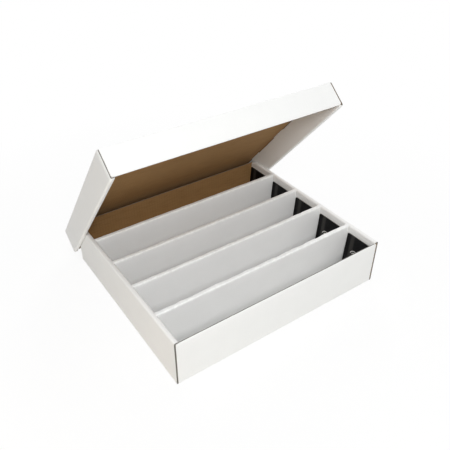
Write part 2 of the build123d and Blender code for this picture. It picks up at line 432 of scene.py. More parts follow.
@dataclass
class Finishes:
    """The materials of the box, made once and shared by its pieces."""

    # White-top testliner, bleached and calendered: near white, faint clouds, matt.
    white_liner: Paper = Paper(
        "white_top_testliner_calendered", "#f3f3f1", "#eeeeec", "#e4e3df", "#f9f8f4", 0.62
    )
    # Unbleached kraft: brown, streaked the way the web ran, with darker fibres and glue lines.
    kraft_liner: Paper = Paper(
        "unbleached_kraft_liner_rolled", "#a68153", "#9a7649", "#775633", "#886440", 0.8,
        Streaks.MACHINE_RUN, fibre_share=0.45, line_share=0.22,
    )
    # Recycled fluting: grey, so that a cut edge reads as a grey line between white faces.
    fluting: Paper = Paper(
        "recycled_fluting_paper_corrugated", "#9b9893", "#928f89", "#74716b", "#868379", 0.85,
        Streaks.MACHINE_RUN, fibre_share=0.4,
    )
    # Kraft board of the tucked ears, which stay out of sight between two plies.
    ear_board: Paper = Paper(
        "unbleached_kraft_board_die_cut", "#a68254", "#9a774a", "#775734", "#886541", 0.8,
        Streaks.CLOUDY, Lie.SOLID, fibre_share=0.45, line_share=0.22,
    )
    # The insert's thinner liner: an even white, matt, with its folds a little brighter, partly from
    # rubbing and partly a painted highlight, widest on the front folds.
    insert_liner: Paper = Paper(
        "bleached_insert_liner_calendered", "#f2f2f1", "#ededec", "#e2e2e0", "#fcfcfa", 0.66,
        fibre_share=0.2, line_share=0.0, wear_and_highlight_share=0.9, wear_and_highlight_size=9 * MM,
    )
    printed_card: PrintedCard = PrintedCard()
    # Grey-white pulp core that shows on a card's cut edge.
    card_core: Paper = Paper(
        "grey_pulp_card_core_die_cut", "#8f8d88", "#85837e", "#6b6964", "#77756f", 0.8,
        line_share=0.0,
    )
    # Pale ink of the card's plain print: silky, a little uneven in cover.
    pale_ink: Paper = Paper(
        "pale_grey_ink_screen_printed", "#ebe9e5", "#dddbd6", "#c4c2bd", "#a8a6a1", 0.5,
        line_share=0.0,
    )
    made: dict[str, bpy.types.Material] = field(default_factory=dict)

    def materials(self, *finishes: Finish) -> list[bpy.types.Material]:
        """Give the materials of some finishes, each made on its first use.

        Args:
            finishes: Some of the finishes above.

        Returns:
            Their Blender materials, in the same order.
        """
        for finish in finishes:
            if finish.name not in self.made:
                self.made[finish.name] = finish.make()
        return [self.made[finish.name] for finish in finishes]

    def board(self, liner: Paper) -> list[bpy.types.Material]:
        """Materials of a board with this outer liner, in the order of Ply."""
        return self.materials(liner, self.kraft_liner, self.fluting)

    def card(self) -> list[bpy.types.Material]:
        """Materials of a card: print, cut edge and pale ink."""
        return self.materials(self.printed_card, self.card_core, self.pale_ink)


# ------------------------------------------------------------------- board making


class Flutes(Enum):
    """Axis that a board's flutes follow; the other two hold its section."""

    X = 0
    Y = 1
    Z = 2

    def place(self, p: float, q: float, w: float) -> Vector:
        """Put the section's point p, q at the distance w along the flutes."""
        return Vector(((w, p, q), (p, w, q), (p, q, w))[self.value])


@dataclass(frozen=True)
class Station:
    """One place along a board's section."""

    segment: int
    turning: bool       # on the fold that starts the segment, and not on its straight
    share: float
    distance: float     # along the middle of the board
    to_fold: float      # distance to the nearest fold


class Section:
    """A board's section: the corners of its outer face, with its folds rounded.

    Folds are square, and the board's thickness lies to one side of the outer face.
    """

    TIGHTEST = 0.05 * MM
    TURN_STEPS = 6
    UNFOLDED = 1.0      # metres to the nearest fold, where there is none

    def __init__(
        self, corners: Sequence[Pair], radii: Sequence[float], left: bool, thickness: float
    ) -> None:
        """Set up the section.

        Args:
            corners: Corners of the outer face, with its two ends.
            radii: Outside radius of each fold between the ends.
            left: Whether the thickness lies to the left of the way that the corners run.
            thickness: The board's thickness.
        """
        self.corners = [Vector(corner) for corner in corners]
        self.radii = [0.0, *radii, 0.0]
        self.thickness = thickness
        pairs = zip(self.corners, self.corners[1:])
        self.ways = [(end - start).normalized() for start, end in pairs]
        side = 1 if left else -1
        self.inwards = [Vector((-side * way.y, side * way.x)) for way in self.ways]

    def radius(self, corner: int, depth: float) -> float:
        """Radius of a fold at a depth below the outer face.

        Args:
            corner: Number of the corner.
            depth: Distance below the outer face.

        Returns:
            The radius, and 0 at the section's two ends.
        """
        if corner in (0, len(self.corners) - 1):
            return 0.0
        closing = self.ways[corner].dot(self.inwards[corner - 1]) > 0
        grown = self.radii[corner] + (-depth if closing else depth)
        return max(grown, self.TIGHTEST)

    def corner(self, corner: int, depth: float) -> Vector:
        """Corner of the unrounded outline at a depth below the outer face.

        Args:
            corner: Number of the corner.
            depth: Distance below the outer face.

        Returns:
            The corner in the section's plane.
        """
        last = len(self.corners) - 1
        shift = self.inwards[min(corner, last - 1)].copy()
        if 0 < corner < last:
            shift += self.inwards[corner - 1]
        return self.corners[corner] + shift * depth

    def at(self, station: Station, depth: float) -> Vector:
        """Point of the section at a station and a depth.

        Args:
            station: Place along the section.
            depth: Distance below the outer face.

        Returns:
            The point in the section's plane.
        """
        i = station.segment
        start, radius = self.corner(i, depth), self.radius(i, depth)
        if station.turning:
            before, after = self.ways[i - 1], self.ways[i]
            middle = start - before * radius + after * radius
            angle = station.share * math.pi / 2
            return middle + radius * (before * math.sin(angle) - after * math.cos(angle))
        first = start + self.ways[i] * radius
        final = self.corner(i + 1, depth) - self.ways[i] * self.radius(i + 1, depth)
        return first.lerp(final, station.share)

    def stations(self, step: float) -> list[Station]:
        """Spread stations along the section.

        Args:
            step: Longest distance between two of them on a straight.

        Returns:
            The stations in order.
        """
        found: list[Station] = []
        travelled = 0.0
        middle = self.thickness / 2
        for i in range(len(self.ways)):
            if i > 0:
                turn = max(self.radius(i, middle), middle / 2) * math.pi / 2
                for k in range(1, self.TURN_STEPS):
                    share = k / self.TURN_STEPS
                    found.append(Station(i, True, share, travelled + share * turn, 0.0))
                travelled += turn
            length = (self.corner(i + 1, middle) - self.corner(i, middle)).length
            length = max(0.0, length - self.radius(i, middle) - self.radius(i + 1, middle))
            for run in even_steps(0.0, length, step) if length > self.TIGHTEST else [0.0]:
                from_fold = [run] if i > 0 else []
                from_fold += [length - run] if i < len(self.ways) - 1 else []
                share = run / length if length > self.TIGHTEST else 0.5
                near = min(from_fold, default=self.UNFOLDED)
                found.append(Station(i, False, share, travelled + run, near))
            travelled += length
        return found


@dataclass(frozen=True)
class Spot:
    """A point of a paper with its place on the flat paper and its share of worn colour, which on the
    insert's folds is partly a painted highlight.
    """

    point: Vector
    place: Place
    wear_and_highlight: float


Grid = list[list[Spot]]


class PaperMesh:
    """Gathers closed sheets of paper into one mesh."""

    SHARP_ANGLE = 38      # degrees

    def __init__(self) -> None:
        """Start with no paper."""
        self.spots: list[Spot] = []
        self.faces: list[tuple[int, ...]] = []
        self.slots: list[int] = []

    def add_sheet(self, near: Grid, far: Grid, plies: tuple[Ply, Ply, Ply]) -> None:
        """Add one closed sheet between two faces.

        Args:
            near: Spots of its first face, by station and by row.
            far: Spots of its second face, in the same order.
            plies: Papers that its first face, second face and cut edges show.
        """
        wide, deep = len(near), len(near[0])
        first, count = len(self.spots), wide * deep
        self.spots += [spot for grid in (near, far) for column in grid for spot in column]
        made: list[tuple[tuple[int, ...], Ply]] = []
        for start in range(first, first + count - deep, deep):
            for a in range(start, start + deep - 1):
                b, c, d = a + deep, a + count, a + deep + count
                made.append(((a, b, b + 1, a + 1), plies[0]))
                made.append(((c, c + 1, d + 1, d), plies[1]))
        row, last_column = deep - 1, count - deep
        rim = [
            *range(0, last_column, deep), *range(last_column, last_column + row),
            *range(last_column + row, row, -deep), *range(row, 0, -1),
        ]
        for a, b in zip(rim, rim[1:] + rim[:1]):
            made.append((tuple(first + k for k in (b, a, a + count, b + count)), plies[2]))

        middle = wide // 2
        a, b, c = near[0][0].point, near[middle][0].point, near[middle][deep - 1].point
        turned = (b - a).cross(c - a).dot(b - far[middle][0].point) < 0
        self.faces += [face[::-1] if turned else face for face, _ in made]
        self.slots += [ply.value for _, ply in made]

    def piece(
        self, name: str, materials: Sequence[bpy.types.Material], place: Matrix
    ) -> bpy.types.Object:
        """Turn the sheets into an object in the scene.

        Args:
            name: Name of the piece.
            materials: Its materials, in the order of the plies.
            place: Where its own frame stands.

        Returns:
            The new object.
        """
        mesh = bpy.data.meshes.new(name)
        mesh.from_pydata([spot.point for spot in self.spots], [], self.faces)
        for material in materials:
            mesh.materials.append(material)
        mesh.polygons.foreach_set("material_index", self.slots)
        mesh.polygons.foreach_set("use_smooth", [True] * len(self.faces))
        places = mesh.attributes.new(PLACE, "FLOAT_VECTOR", "POINT")
        places.data.foreach_set("vector", [c for spot in self.spots for c in spot.place])
        wear_and_highlights = mesh.attributes.new(WEAR_AND_HIGHLIGHT, "FLOAT", "POINT")
        wear_and_highlights.data.foreach_set("value", [spot.wear_and_highlight for spot in self.spots])
        mesh.set_sharp_from_angle(angle=math.radians(self.SHARP_ANGLE))
        piece = bpy.data.objects.new(name, mesh)
        bpy.context.scene.collection.objects.link(piece)
        piece.matrix_world = place
        return piece


class EdgeKind(Enum):
    """What a board's edge across the flutes is."""

    CUT = "cut"
    CREASED = "creased"     # turns into the next panel with a rounded crease
    CRUSHED = "crushed"     # pinched by the cutting rule, which rounds the outer liner over


@dataclass(frozen=True)
class Board:
    """Corrugated board: its papers, and how it lies a little uneven."""

    thickness: float
    seed: int
    pitch: float = FLUTE_PITCH
    liner: float = 0.42 * MM
    medium: float = 0.30 * MM
    sag: float = 0.05 * MM            # liner between two flute tips
    swell: float = 0.35 * MM          # slow waves over the whole face
    swell_size: float = 95 * MM
    fold_calm: float = 30 * MM        # the waves fade out this near a fold
    end_calm: float = 12 * MM         # they are halved at an end, and full at half of this from it
    # Worn colour reaches this far from a fold or cut edge; on the insert's folds it is partly a
    # painted highlight.
    fold_wear_and_highlight: float = 4.0 * MM
    pinch: float = 0.5                # share of the thickness lost at a crushed edge
    pinch_reach: float = 3.0 * MM
    end_rows: tuple[float, ...] = (0.12, 0.35, 0.65, 1.0)    # shares of a shaped end's reach
    steps: int = 6                    # points along one flute

    def ply_depths(self, distance: float) -> dict[Ply, Pair]:
        """Depths of the three papers' faces.

        Args:
            distance: Distance along the section.

        Returns:
            The first and second face's depth of each paper, from outside to inside.
        """
        wave = math.cos(math.tau * distance / self.pitch)
        outer = self.sag * (1 - wave) / 2
        inner = self.thickness - self.sag * (1 + wave) / 2
        reach = self.thickness / 2 - self.liner - self.medium / 2
        middle = self.thickness / 2 - reach * wave
        half = self.medium / 2
        return {
            Ply.WHITE: (outer, outer + self.liner),
            Ply.FLUTING: (middle - half, middle + half),
            Ply.KRAFT: (inner - self.liner, inner),
        }


@dataclass
class Run:
    """A stretch of board with one section all along its flutes."""

    board: Board
    section: Section
    flutes: Flutes
    span: Callable[[Station], Pair]
    row_step: float = 16 * MM
    edges: tuple[EdgeKind, EdgeKind] = (EdgeKind.CUT, EdgeKind.CUT)   # at the low and high end
    lining: Ply = Ply.KRAFT             # what its inner face shows
    settle: Callable[[Vector], Vector] = lambda point: point

    def rows(self) -> list[float]:
        """Place the papers' points along the span, closer together at a shaped end.

        Returns:
            Shares of the span, in order.
        """
        low, high = self.span(self.section.stations(self.board.pitch)[0])
        length = high - low
        shares = even_steps(0.0, 1.0, self.row_step / length)
        reaches = {EdgeKind.CREASED: CREASE_RADIUS, EdgeKind.CRUSHED: self.board.pinch_reach}
        near_low, near_high = (reaches.get(edge, 0.0) / length for edge in self.edges)
        shares += [near_low * row for row in self.board.end_rows if near_low > 0]
        shares += [1 - near_high * row for row in self.board.end_rows if near_high > 0]
        return sorted(shares)

    def sunk(self, station: Station, w: float, depth: float, ends: Pair) -> float:
        """Depth after the board's swells and its creased or crushed ends.

        Args:
            station: Place along the section.
            w: Distance along the flutes.
            depth: Depth in flat, even board.
            ends: Both ends of the span.

        Returns:
            The depth in the real board.
        """
        board = self.board
        calm = smooth(0, board.fold_calm, station.to_fold)
        off_end = min(w - ends[0], ends[1] - w)
        calm *= smooth(0, board.end_calm, off_end + board.end_calm / 2)
        height = unevenness(board.seed, station.distance, w, board.swell_size)
        swell = board.swell * calm * (0.5 + 0.5 * height)
        lost = 0.0
        for end, edge in zip(ends, self.edges):
            off = abs(w - end)
            if edge is EdgeKind.CREASED and off < CREASE_RADIUS:
                lost = CREASE_RADIUS - math.sqrt(CREASE_RADIUS**2 - (CREASE_RADIUS - off) ** 2)
            if edge is EdgeKind.CRUSHED:
                lost = board.pinch * board.thickness * smooth(board.pinch_reach, 0, off)
        squeeze = (board.thickness - depth) / board.thickness
        return depth + swell + lost * squeeze

    def grid(self, ply: Ply, face: int) -> Grid:
        """Spots of one face of a paper.

        Args:
            ply: The paper.
            face: 0 for its outer face and 1 for its inner one.

        Returns:
            The spots, by station and by row.
        """
        found: Grid = []
        rows = self.rows()
        for station in self.section.stations(self.board.pitch / self.board.steps):
            ends = self.span(station)
            depth = self.board.ply_depths(station.distance)[ply][face]
            column = []
            for row in rows:
                w = ends[0] + (ends[1] - ends[0]) * row
                p, q = self.section.at(station, self.sunk(station, w, depth, ends))
                raw_edge = min(w - ends[0], ends[1] - w)
                # Worn colour near folds and cut edges; on the insert's folds partly a painted
                # highlight.
                wear_and_highlight = smooth(self.board.fold_wear_and_highlight, 0, min(station.to_fold, raw_edge))
                place = (station.distance, w + self.board.seed, depth)
                column.append(Spot(self.settle(self.flutes.place(p, q, w)), place, wear_and_highlight))
            found.append(column)
        return found

    def add_papers(self, mesh: PaperMesh) -> None:
        """Add the stretch as two liners with the fluting between them.

        Args:
            mesh: Mesh that gets it.
        """
        shows = {
            Ply.WHITE: (Ply.WHITE, Ply.FLUTING, Ply.FLUTING),
            Ply.FLUTING: (Ply.FLUTING, Ply.FLUTING, Ply.FLUTING),
            Ply.KRAFT: (Ply.FLUTING, self.lining, Ply.FLUTING),
        }
        for ply, plies in shows.items():
            mesh.add_sheet(self.grid(ply, 0), self.grid(ply, 1), plies)

    def add_closed(self, mesh: PaperMesh) -> None:
        """Add the stretch as one closed board, where its cut edges stay out of sight."""
        near, far = self.grid(Ply.WHITE, 0), self.grid(Ply.KRAFT, 1)
        mesh.add_sheet(near, far, (Ply.WHITE, self.lining, Ply.FLUTING))


def whole(low: float, high: float) -> Callable[[Station], Pair]:
    """Span that runs from low to high at every station."""
    return lambda station: (low, high)


# ------------------------------------------------------------------ sub-assemblies


@dataclass
class Tabs:
    """Lock tabs of a rolled side, and the slots that they fill."""

    length: float = 42 * MM
    pitch: float = 120 * MM
    count: int = 3
    fit: float = 0.3 * MM

    def spans(self, middle: float, grow: float = 0.0) -> list[Pair]:
        """Both ends of each tab along Y.

        Args:
            middle: Middle of the row of tabs.
            grow: Clearance added at each end, for the slots.

        Returns:
            Low and high end of each.
        """
        half = self.length / 2 + grow
        places = [middle + self.pitch * (i - (self.count - 1) / 2) for i in range(self.count)]
        return [(place - half, place + half) for place in places]

    def bridges(self, middle: float, low: float, high: float) -> list[Pair]:
        """Stretches of panel, from low to high, that stay between the slots."""
        marks = [low, *(end for span in self.spans(middle, self.fit) for end in span), high]
        return list(zip(marks[::2], marks[1::2]))


@dataclass
class BoxHalf:
    """What the tray and the lid share: four walls folded off one slotted panel."""

    finishes: Finishes
    body: str = ""
    panel: str = ""                    # the CAD nodes' word for the slotted panel
    wall: str = ""                     # and for the four walls
    up: int = 1                        # 1 where the walls rise from the panel, -1 where they hang
    first_seed: int = 0
    turn: Matrix = field(default_factory=Matrix)    # from the frame to where the half lies flat
    front_lining: Ply = Ply.KRAFT
    side_front: EdgeKind = EdgeKind.CUT
    roll_ease: float = 1.2 * MM
    shadow_gap: float = 1.5 * MM       # between a tucked ply and the panel
    ply_fit: float = 0.3 * MM          # between a tucked ply and the end walls
    tabs: Tabs = field(default_factory=Tabs)
    boxes: dict[str, tuple[Vector, Vector]] = field(default_factory=dict)

    def build(self) -> None:
        """Make the half's pieces, and give the hidden ears, which stay CAD nodes, their board."""
        self.make_panel(1)
        self.make_end("front", 2, self.front_lining)
        self.make_end("rear", 3, Ply.KRAFT)
        self.make_side("left", 4)
        self.make_side("right", 5)
        for ear in ("front_left_ear", "front_right_ear", "rear_left_ear", "rear_right_ear"):
            materials = frame["nodes"][f"{self.body}_{ear}"].data.materials
            materials.clear()
            materials.append(self.finishes.materials(self.finishes.ear_board)[0])
            LOG.info("%s_%s: CAD node dressed", self.body, ear)

    def box(self, part: str) -> tuple[Vector, Vector]:
        """Give a CAD node's box as the half lies flat, measured once.

        Args:
            part: The node's name after the half's own.

        Returns:
            Its lowest and highest corners.
        """
        if part not in self.boxes:
            vertices = frame["nodes"][f"{self.body}_{part}"].data.vertices
            points = [self.turn @ vertex.co for vertex in vertices]
            low = Vector([min(point[i] for point in points) for i in range(3)])
            high = Vector([max(point[i] for point in points) for i in range(3)])
            self.boxes[part] = (low, high)
        return self.boxes[part]

    def finish(self, mesh: PaperMesh, name: str, *parts: str) -> None:
        """Turn a mesh into a piece that stands for some of the half's CAD nodes.

        Args:
            mesh: The piece's mesh, as the half lies flat.
            name: Name of the piece between the half's and the word board.
            parts: The nodes' names after the half's own.
        """
        materials = self.finishes.board(self.finishes.white_liner)
        piece = mesh.piece(f"{self.body}_{name}_board", materials, self.turn.inverted())
        dress(piece, self.body, f"{self.body}_board", *(f"{self.body}_{part}" for part in parts))

    def board(self, number: int, thickness: float) -> Board:
        """Board of one piece, uneven in its own way."""
        return Board(thickness=thickness, seed=self.first_seed + number)

    def make_panel(self, number: int) -> None:
        """Make the slotted panel.

        Args:
            number: Number of the board.
        """
        low, high = self.box(self.panel)
        side_low, side_high = self.box(f"left_rolled_{self.wall}")
        thickness = high.z - low.z
        tab_middle = (side_low.y + side_high.y) / 2
        inner = min(abs(side_low.x), abs(side_high.x)) - self.tabs.fit
        outer = inner + thickness + 2 * self.tabs.fit
        outside = low.z if self.up > 0 else high.z
        stretches = [(-inner, inner, low.y, high.y)]
        for side in (-1, 1):
            stretches.append((side * outer, side * high.x, low.y, high.y))
            for start, end in self.tabs.bridges(tab_middle, low.y, high.y):
                stretches.append((side * inner, side * outer, start, end))
        mesh = PaperMesh()
        for x0, x1, y0, y1 in stretches:
            x0, x1 = sorted((x0, x1))
            section = Section([(x0, outside), (x1, outside)], [], self.up > 0, thickness)
            board = self.board(number, thickness)
            Run(board, section, Flutes.Y, whole(y0, y1)).add_closed(mesh)
        self.finish(mesh, self.panel, self.panel)

    def make_end(self, end: str, number: int, lining: Ply) -> None:
        """Make a single-ply front or rear wall.

        Args:
            end: Front or rear.
            number: Number of the board.
            lining: Paper that its inner face shows.
        """
        low, high = self.box(f"{end}_{self.wall}")
        thickness = high.y - low.y
        rear = end == "rear"
        outside, inside = (high.y, low.y) if rear else (low.y, high.y)
        corners = [(low.x, inside), (low.x, outside), (high.x, outside), (high.x, inside)]
        section = Section(corners, [CREASE_RADIUS] * 2, not rear, thickness)
        edges = (EdgeKind.CREASED, EdgeKind.CRUSHED)[:: self.up]
        board, span = self.board(number, thickness), whole(low.z, high.z)
        mesh = PaperMesh()
        Run(board, section, Flutes.Z, span, edges=edges, lining=lining).add_papers(mesh)
        self.finish(mesh, end, f"{end}_{self.wall}")

    def make_side(self, hand: str, number: int) -> None:
        """Make a side wall: outer ply, rolled edge, inner ply and lock tabs in one board.

        Args:
            hand: Left or right.
            number: Number of the board.
        """
        outer, rolled = f"{hand}_outer_{self.wall}", f"{hand}_rolled_{self.wall}"
        ply_low, ply_high = self.box(outer)
        low, high = self.box(rolled)
        thickness = ply_high.x - ply_low.x
        side = 1 if hand == "right" else -1
        outside = side * max(abs(low.x), abs(high.x))
        inside = side * min(abs(low.x), abs(high.x))
        base, edge = (ply_low.z, high.z) if self.up > 0 else (ply_high.z, low.z)
        tuck = base + self.up * thickness
        corners = [
            (outside - side * thickness, base),
            (outside, base),
            (outside, edge),
            (inside, edge),
            (inside, tuck + self.up * self.shadow_gap),
        ]
        board = self.board(number, thickness)
        left = side * self.up > 0
        front_inside, rear_inside = self.inner_reach()
        inner_segment = len(corners) - 2

        def span(station: Station) -> Pair:
            """Ends of the outer ply, drawn in where the board is tucked between the end walls.

            Args:
                station: Place along the section.

            Returns:
                Both ends along Y.
            """
            tucked = 0.0
            if station.segment == inner_segment and not station.turning:
                tucked = smooth(0, self.roll_ease, station.share * abs(edge - tuck))
            return (
                low.y + tucked * (front_inside - low.y),
                high.y + tucked * (rear_inside - high.y),
            )

        mesh = PaperMesh()
        section = Section(corners, [CREASE_RADIUS, ROLL_RADIUS, ROLL_RADIUS], left, thickness)
        edges = (self.side_front, EdgeKind.CUT)
        Run(board, section, Flutes.Y, span, edges=edges, settle=self.settle_side).add_papers(mesh)
        tip = low.z if self.up > 0 else high.z
        tab_section = Section([corners[-1], (inside, tip)], [], left, thickness)
        for y0, y1 in self.tabs.spans((low.y + high.y) / 2):
            Run(board, tab_section, Flutes.Y, whole(y0, y1)).add_papers(mesh)
        self.finish(mesh, f"{hand}_side", outer, rolled)

    def inner_reach(self) -> Pair:
        """Both ends along Y of a side's inner ply, just clear of the end walls."""
        front, rear = self.box(f"front_{self.wall}")[1].y, self.box(f"rear_{self.wall}")[0].y
        return front + self.ply_fit, rear - self.ply_fit

    def settle_side(self, point: Vector) -> Vector:
        """Last shaping of a side wall's point; none unless a half has its own."""
        return point


@dataclass
class Tray(BoxHalf):
    """The open tray."""

    body: str = "tray"
    panel: str = "floor"
    wall: str = "wall"
    front_lining: Ply = Ply.WHITE
    relief_length: float = 14 * MM      # slope at the rear end of each side wall's top
    relief_start: float = 60 * MM       # height where the board begins to give

    def settle_side(self, point: Vector) -> Vector:
        """Slope a side wall's rear top corner down to the rear wall's height.

        Args:
            point: A point of the side wall.

        Returns:
            The point after the slope.
        """
        _, rear, top = self.box("left_rolled_wall")[1]
        fall = top - self.box("rear_wall")[1].z
        share = min(1.0, max(0.0, (point.y - rear) / self.relief_length + 1))
        drop = share * fall * smooth(self.relief_start, top, point.z)
        return Vector((point.x, point.y, point.z - drop))


def shutting_turn() -> Matrix:
    """Find how the lid swings from its open rest to where it lies shut.

    Returns:
        The turn about the lid's joint.
    """
    joint = next(joint for joint in frame["joints"] if joint["name"] == "lid_swing")
    pivot = Vector(joint["pos_m"])
    swing = Matrix.Rotation(math.radians(joint["range_deg"][0]), 4, Vector(joint["axis"]))
    return Matrix.Translation(pivot) @ swing @ Matrix.Translation(-pivot)


@dataclass
class Lid(BoxHalf):
    """The loose lid, made as it lies shut and then tipped open with its body."""

    body: str = "lid"
    panel: str = "panel"
    wall: str = "flap"
    up: int = -1
    first_seed: int = 10
    turn: Matrix = field(default_factory=shutting_turn)
    side_front: EdgeKind = EdgeKind.CRUSHED


@dataclass
class Insert:
    """The pleated insert: dividers of folded board, and the floor strips between them."""

    finishes: Finishes
    ply: float = 2.5 * MM
    fold_step: float = 2.1 * MM         # along the fold
    fold_radius: float = 2.8 * MM       # at each side of the fold's flat top
    fold_crush: float = 1.3 * MM        # how far the fold's papers buckle
    crushed_evenly: float = 0.5         # share of that all along the fold
    crushed_dents: float = 0.3          # share that comes and goes with the dents
    crushed_buckles: float = 0.4        # and with the buckles
    fold_bulge: float = 1.0 * MM        # how far they swell sideways
    fold_reach: float = 7 * MM          # below the fold's top
    handling_and_highlight: tuple[float, ...] = (1.3, 1.1, 0.5, 0.4)    # the front folds are crushed most and painted brightest, a painted highlight that fades towards the rear folds
    rubbed_and_highlit: float = 6 * MM              # how far below its top a fold is painted brighter, partly rubbing and partly painted highlight
    buckle_size: float = 6.4 * MM
    dent_size: float = 22.4 * MM        # dents are longer than buckles
    dent_run: float = 0.3               # and run on over the fold, as this slows them across it
    bulge_size: float = 14.08 * MM
    sides_apart: float = 20 * MM        # in the noise, so that both sides bulge in their own way
    sway: float = 0.5 * MM              # slow bow of a divider along its length
    sway_size: float = 160 * MM
    foot_height: float = 25 * MM        # the floor strips hold a divider straight below this
    end_lap: float = 0.08 * MM          # how far below the roll's crown a fold's end stops
    lap_reach: float = 10 * MM          # length of fold that is drawn out over the roll
    cove: float = 2.5 * MM              # where a floor strip turns up into a divider
    sink: float = 0.05 * MM             # the turned-up part lies just behind the divider's face
    floor_swell: float = 0.2 * MM
    floor_step: float = 12 * MM         # along the strip
    divider_seed: int = 20
    floor_seed: int = 30

    def build(self) -> None:
        """Make the insert's pieces."""
        for number in range(1, ROWS):
            self.make_divider(number)
        for number in range(1, ROWS + 1):
            self.make_floor(number)

    def buckled(self, number: int, low: Vector, high: Vector) -> Callable[[Vector], Vector]:
        """Shaping that crushes a fold and lays its ends over the side walls' rolled edges.

        Args:
            number: Number of the divider, from the front.
            low: Lowest corner of the divider's box.
            high: Highest corner of the divider's box.

        Returns:
            A function that moves a point.
        """
        roll_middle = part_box("tray_left_rolled_wall")[1].z - ROLL_RADIUS
        handling_and_highlight = self.handling_and_highlight[number - 1]
        middle = (low.y + high.y) / 2
        buckle_seed, sway_seed, dent_seed, bulge_seed = (number + k for k in (0, 0.2, 0.5, 0.7))

        def move(point: Vector) -> Vector:
            """Move a point of the divider to where handling has left it.

            Args:
                point: A point of the straight divider.

            Returns:
                The moved point.
            """
            near_top = smooth(self.fold_reach, 0, high.z - point.z)
            dent = unevenness(dent_seed, point.x, point.y * self.dent_run, self.dent_size)
            buckle = unevenness(buckle_seed, point.x, point.y, self.buckle_size)
            near_end = smooth(high.x - self.lap_reach, high.x, abs(point.x))
            loose = near_top * handling_and_highlight * (1 - near_end)
            crushed = self.crushed_evenly + self.crushed_dents * dent
            crushed += self.crushed_buckles * abs(buckle)
            give = self.fold_crush * loose * crushed
            side = 1 if point.y > middle else -1
            swollen = unevenness(bulge_seed, point.x, side * self.sides_apart, self.bulge_size)
            bulge = self.fold_bulge * loose * side * swollen
            sway = self.sway * unevenness(sway_seed, point.x, 0.0, self.sway_size)
            sway *= smooth(0, self.foot_height, point.z)
            up_roll = min(ROLL_RADIUS - self.end_lap, max(0.0, point.z - roll_middle))
            lap = ROLL_RADIUS - math.sqrt(ROLL_RADIUS**2 - up_roll**2)
            x = point.x + math.copysign(lap * near_end, point.x)
            return Vector((x, point.y + sway + bulge, point.z - give))

        return move

    def make_divider(self, number: int) -> None:
        """Make one divider of double board over a rounded, crushed fold, painted brighter along its
        top as rubbing and a painted highlight.

        Args:
            number: Its number, from the front.
        """
        node = f"divider_{number}"
        low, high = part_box(node)
        corners = [(low.y, low.z), (low.y, high.z), (high.y, high.z), (high.y, low.z)]
        # One step a flute, so that no flutes show through this liner.
        board = Board(
            thickness=self.ply, seed=self.divider_seed + number, pitch=4 * self.fold_step,
            steps=1, fold_wear_and_highlight=self.rubbed_and_highlit * self.handling_and_highlight[number - 1],
        )
        section = Section(corners, [self.fold_radius] * 2, False, self.ply)
        run = Run(
            board, section, Flutes.X, whole(low.x, high.x), self.fold_step,
            settle=self.buckled(number, low, high),
        )
        self.finish(run, node)

    def make_floor(self, number: int) -> None:
        """Make one floor strip, turned up where it meets a divider.

        Args:
            number: Its number, from the front.
        """
        node = f"row_floor_{number}"
        low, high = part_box(node)
        top, turned_up = high.z, high.z + self.cove + self.sink
        corners: list[Pair] = [(low.y, top), (high.y, top)]
        if number > 1:
            corners[:1] = [(low.y - self.sink, turned_up), (low.y - self.sink, top)]
        if number < ROWS:
            corners[-1:] = [(high.y + self.sink, top), (high.y + self.sink, turned_up)]
        thickness, seed = high.z - low.z, self.floor_seed + number
        board = Board(thickness=thickness, seed=seed, swell=self.floor_swell)
        section = Section(corners, [self.cove] * (len(corners) - 2), False, thickness)
        span = whole(low.x, high.x)
        self.finish(Run(board, section, Flutes.X, span, self.floor_step), node)

    def finish(self, run: Run, node: str) -> None:
        """Turn a run of board into the piece that stands for a CAD node.

        Args:
            run: The board.
            node: The CAD node.
        """
        mesh = PaperMesh()
        run.add_closed(mesh)
        materials = self.finishes.board(self.finishes.insert_liner)
        dress(mesh.piece(f"{node}_board", materials, Matrix()), "tray", "insert_board", node)


